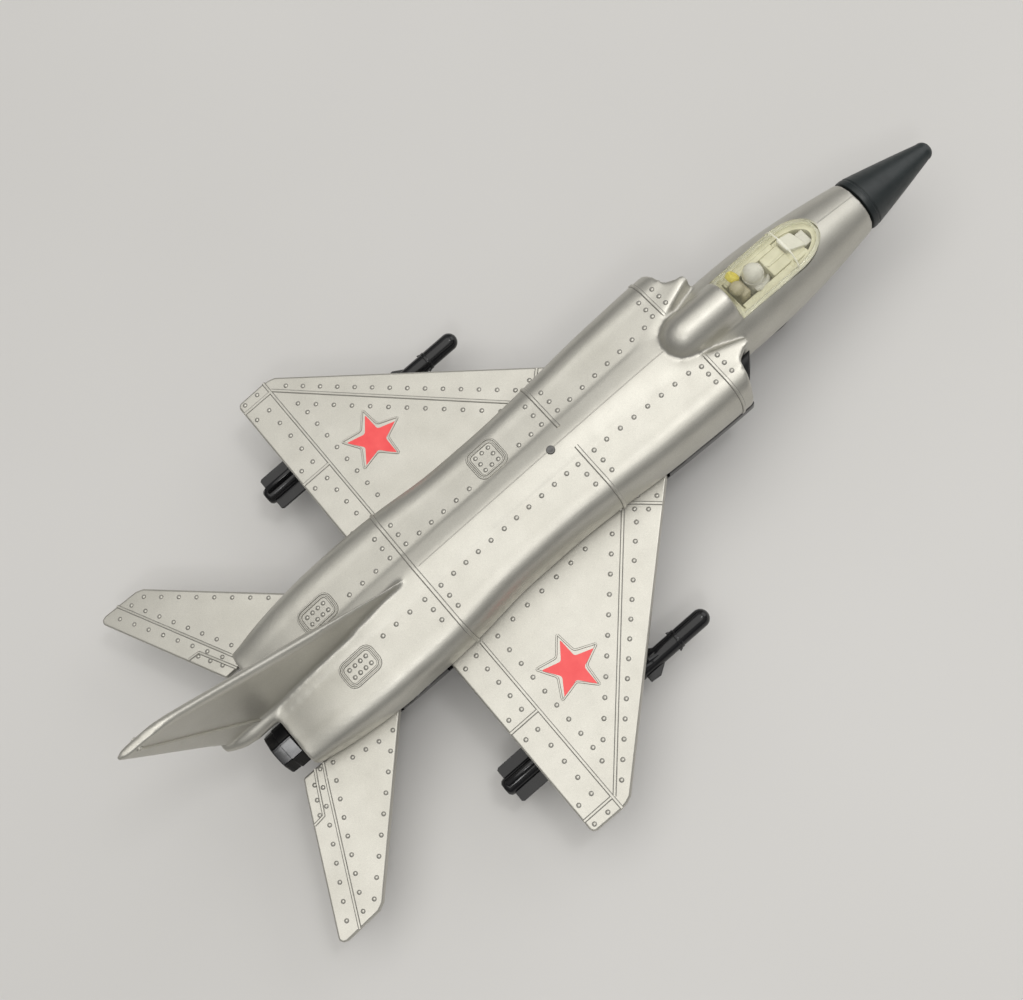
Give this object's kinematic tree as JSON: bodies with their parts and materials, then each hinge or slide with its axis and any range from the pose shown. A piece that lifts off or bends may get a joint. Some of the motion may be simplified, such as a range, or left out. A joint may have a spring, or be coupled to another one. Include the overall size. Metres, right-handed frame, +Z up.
{
  "type": "toy airplane",
  "caption": "Die-cast toy jet with side intakes, delta wings, twin exhausts, a single fin, wing missiles and wheels that turn.",
  "frame": {"origin": "middle of the overall box at the ground under the wheels", "axes": "+X forward to the nose, +Y to port, +Z up"},
  "size_m": [0.1653, 0.1002, 0.051],
  "materials": {
    "silver_paint": "satin silver paint on a zinc casting",
    "black_plastic": "glossy",
    "satin_black": "satin",
    "clear_plastic": "clear, slightly yellowed",
    "cream_plastic": "satin",
    "beige_plastic": "satin",
    "yellow_paint": "satin",
    "helmet_grey": "silver-grey paint",
    "steel": "dull",
    "wheel_black": "matt black"
  },
  "bodies": {
    "airframe": {"fuselage_casting": "silver_paint", "lower_body": "black_plastic", "wing_casting": "silver_paint", "tailplane_casting": "silver_paint", "nose_cone": "satin_black", "canopy": "clear_plastic", "cockpit_tub": "cream_plastic", "ejection_seat": "beige_plastic", "headrest": "yellow_paint", "pilot": "helmet_grey", "front_rivet": "steel", "centre_rivet": "steel", "rear_rivet": "steel", "nose_leg": "steel", "port_intake_duct": "black_plastic", "starboard_intake_duct": "black_plastic", "port_nozzle": "black_plastic", "starboard_nozzle": "black_plastic", "port_missile": "black_plastic", "starboard_missile": "black_plastic", "port_main_leg": "steel", "port_main_axle": "steel", "starboard_main_leg": "steel", "starboard_main_axle": "steel"},
    "nose_wheels": {"nose_axle": "steel", "port_nose_wheel": "wheel_black", "starboard_nose_wheel": "wheel_black"},
    "port_wheel": {"port_main_wheel": "wheel_black"},
    "starboard_wheel": {"starboard_main_wheel": "wheel_black"}
  },
  "joints": [
    {"name": "nose_wheels_roll", "type": "hinge", "parent": "airframe", "child": "nose_wheels", "pos_m": [0.0454, 0, 0.0032], "axis": [0, 1, 0], "continuous": true},
    {"name": "port_wheel_roll", "type": "hinge", "parent": "airframe", "child": "port_wheel", "pos_m": [-0.0246, 0.0103, 0.004], "axis": [0, 1, 0], "continuous": true},
    {"name": "starboard_wheel_roll", "type": "hinge", "parent": "airframe", "child": "starboard_wheel", "pos_m": [-0.0246, -0.0103, 0.004], "axis": [0, 1, 0], "continuous": true}
  ]
}
